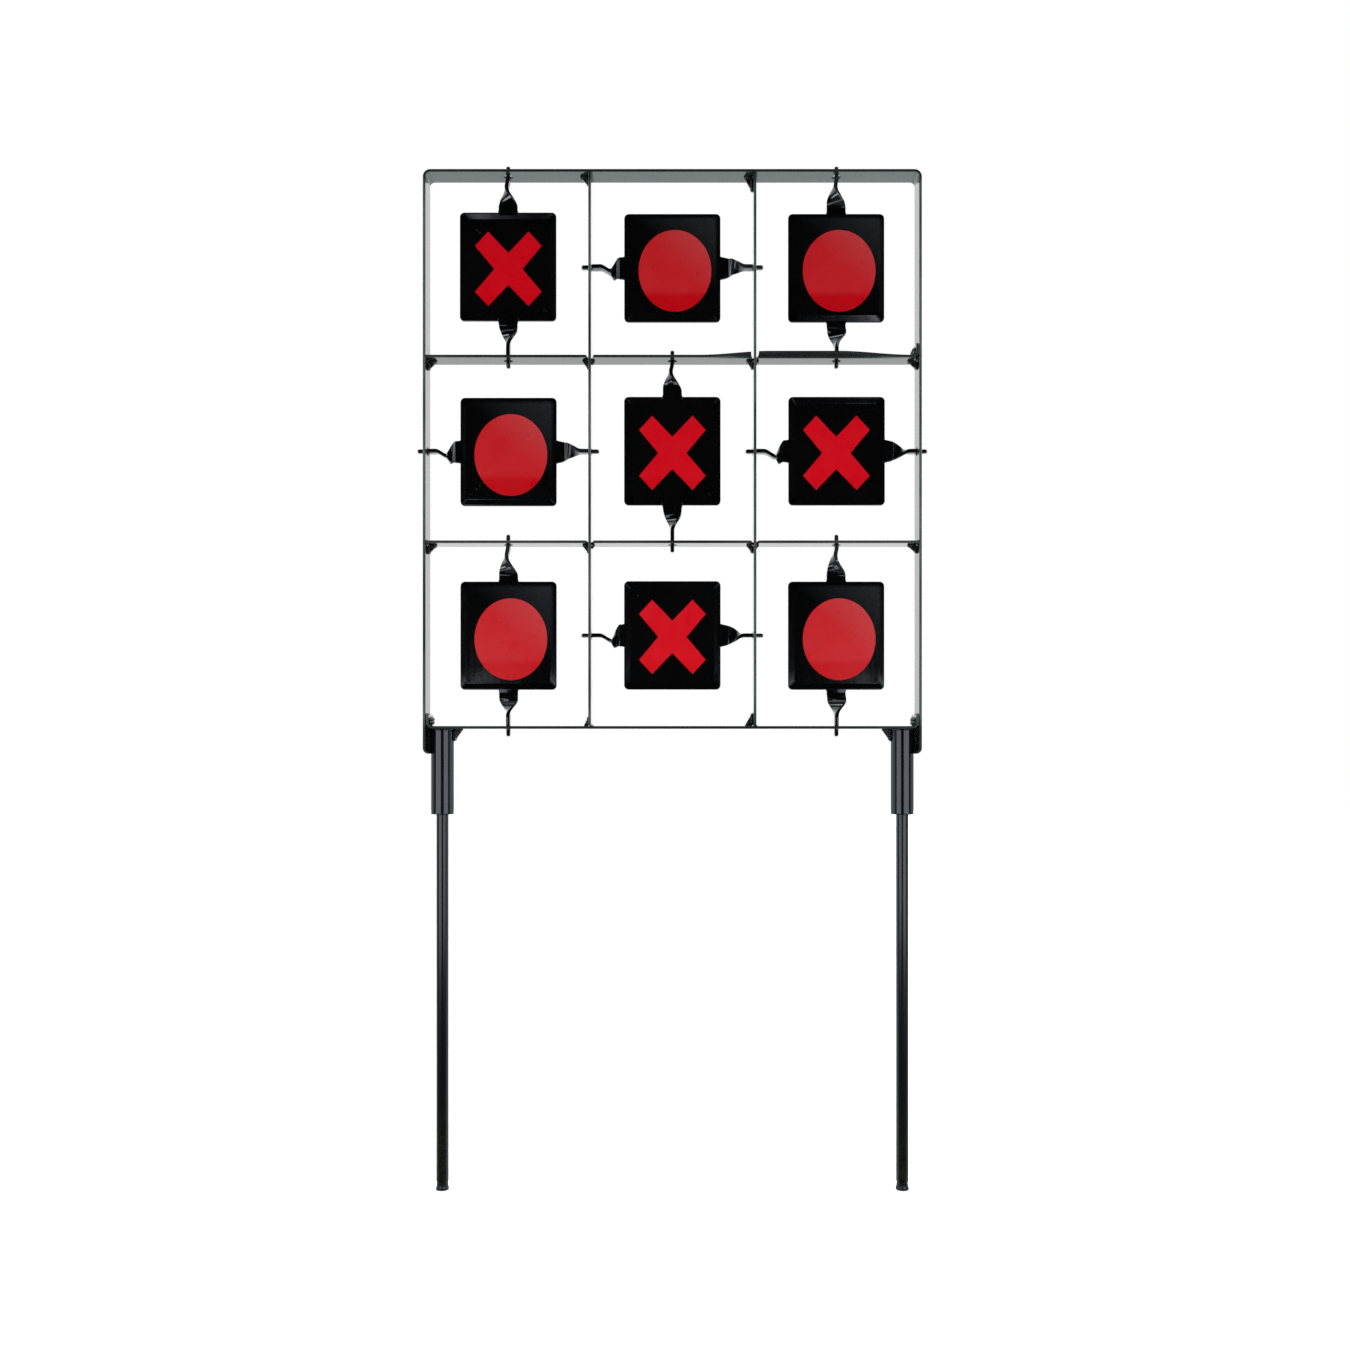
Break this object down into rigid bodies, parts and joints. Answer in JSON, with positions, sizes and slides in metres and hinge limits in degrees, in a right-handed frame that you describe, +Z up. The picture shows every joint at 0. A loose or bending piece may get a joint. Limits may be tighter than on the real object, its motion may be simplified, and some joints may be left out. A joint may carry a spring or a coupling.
{
  "type": "spinner target stand",
  "caption": "Steel grid frame on two push-in legs, with noughts-and-crosses plates that each spin freely on their own pins.",
  "frame": {"origin": "on the ground, midway between the bottoms of the two legs", "axes": "+Z up, +X to the right as seen from the shooting side, +Y away from the shooter"},
  "size_m": [0.462, 0.025, 0.927],
  "materials": {
    "frame_paint": "semi-gloss black paint",
    "leg_paint": "semi-gloss blue-black paint",
    "plate_enamel": "gloss black enamel",
    "mark_red": "satin red print"
  },
  "bodies": {
    "stakes": {"leg_left": "leg_paint", "leg_right": "leg_paint"},
    "frame": {"outer_hoop": "frame_paint", "inner_upright_left": "frame_paint", "inner_upright_right": "frame_paint", "crossbar_upper": "frame_paint", "upper_lip_left": "frame_paint", "upper_lip_right": "frame_paint", "crossbar_lower": "frame_paint", "crossbar_bottom": "frame_paint", "hoop_gusset_left_upper": "frame_paint", "hoop_gusset_right_upper": "frame_paint", "upright_left_gusset_upper": "frame_paint", "upright_left_rib_upper": "frame_paint", "upright_right_gusset_upper": "frame_paint", "upright_right_rib_upper": "frame_paint", "hoop_gusset_left_lower": "frame_paint", "hoop_gusset_right_lower": "frame_paint", "upright_left_gusset_lower": "frame_paint", "upright_left_rib_lower": "frame_paint", "upright_right_gusset_lower": "frame_paint", "upright_right_rib_lower": "frame_paint", "upright_left_gusset_top": "frame_paint", "upright_left_gusset_bottom": "frame_paint", "upright_right_gusset_top": "frame_paint", "upright_right_gusset_bottom": "frame_paint", "socket_left": "leg_paint", "socket_right": "leg_paint", "socket_gusset_left": "frame_paint", "socket_gusset_right": "frame_paint", "tail_weld_left": "frame_paint", "tail_weld_right": "frame_paint"},
    "spinner_top_left": {"plate_top_left": "plate_enamel", "round_mark_top_left": "mark_red", "cross_mark_top_left": "mark_red"},
    "spinner_top_centre": {"plate_top_centre": "plate_enamel", "round_mark_top_centre": "mark_red", "cross_mark_top_centre": "mark_red"},
    "spinner_top_right": {"plate_top_right": "plate_enamel", "round_mark_top_right": "mark_red", "cross_mark_top_right": "mark_red"},
    "spinner_middle_left": {"plate_middle_left": "plate_enamel", "round_mark_middle_left": "mark_red", "cross_mark_middle_left": "mark_red"},
    "spinner_middle_centre": {"plate_middle_centre": "plate_enamel", "round_mark_middle_centre": "mark_red", "cross_mark_middle_centre": "mark_red"},
    "spinner_middle_right": {"plate_middle_right": "plate_enamel", "round_mark_middle_right": "mark_red", "cross_mark_middle_right": "mark_red"},
    "spinner_bottom_left": {"plate_bottom_left": "plate_enamel", "round_mark_bottom_left": "mark_red", "cross_mark_bottom_left": "mark_red"},
    "spinner_bottom_centre": {"plate_bottom_centre": "plate_enamel", "round_mark_bottom_centre": "mark_red", "cross_mark_bottom_centre": "mark_red"},
    "spinner_bottom_right": {"plate_bottom_right": "plate_enamel", "round_mark_bottom_right": "mark_red", "cross_mark_bottom_right": "mark_red"}
  },
  "joints": [
    {"name": "frame_lift", "type": "slide", "parent": "stakes", "child": "frame", "axis": [0, 0, 1], "range_m": [0, 0.085]},
    {"name": "spin_top_left", "type": "hinge", "parent": "frame", "child": "spinner_top_left", "pos_m": [-0.14867, 0, 0.8356], "axis": [0, 0, 1], "continuous": true},
    {"name": "spin_top_centre", "type": "hinge", "parent": "frame", "child": "spinner_top_centre", "pos_m": [0, 0, 0.8356], "axis": [1, 0, 0], "continuous": true},
    {"name": "spin_top_right", "type": "hinge", "parent": "frame", "child": "spinner_top_right", "pos_m": [0.14867, 0, 0.8356], "axis": [0, 0, 1], "continuous": true},
    {"name": "spin_middle_left", "type": "hinge", "parent": "frame", "child": "spinner_middle_left", "pos_m": [-0.14867, 0, 0.6688], "axis": [1, 0, 0], "continuous": true},
    {"name": "spin_middle_centre", "type": "hinge", "parent": "frame", "child": "spinner_middle_centre", "pos_m": [0, 0, 0.6688], "axis": [0, 0, 1], "continuous": true},
    {"name": "spin_middle_right", "type": "hinge", "parent": "frame", "child": "spinner_middle_right", "pos_m": [0.14867, 0, 0.6688], "axis": [1, 0, 0], "continuous": true},
    {"name": "spin_bottom_left", "type": "hinge", "parent": "frame", "child": "spinner_bottom_left", "pos_m": [-0.14867, 0, 0.502], "axis": [0, 0, 1], "continuous": true},
    {"name": "spin_bottom_centre", "type": "hinge", "parent": "frame", "child": "spinner_bottom_centre", "pos_m": [0, 0, 0.502], "axis": [1, 0, 0], "continuous": true},
    {"name": "spin_bottom_right", "type": "hinge", "parent": "frame", "child": "spinner_bottom_right", "pos_m": [0.14867, 0, 0.502], "axis": [0, 0, 1], "continuous": true}
  ]
}
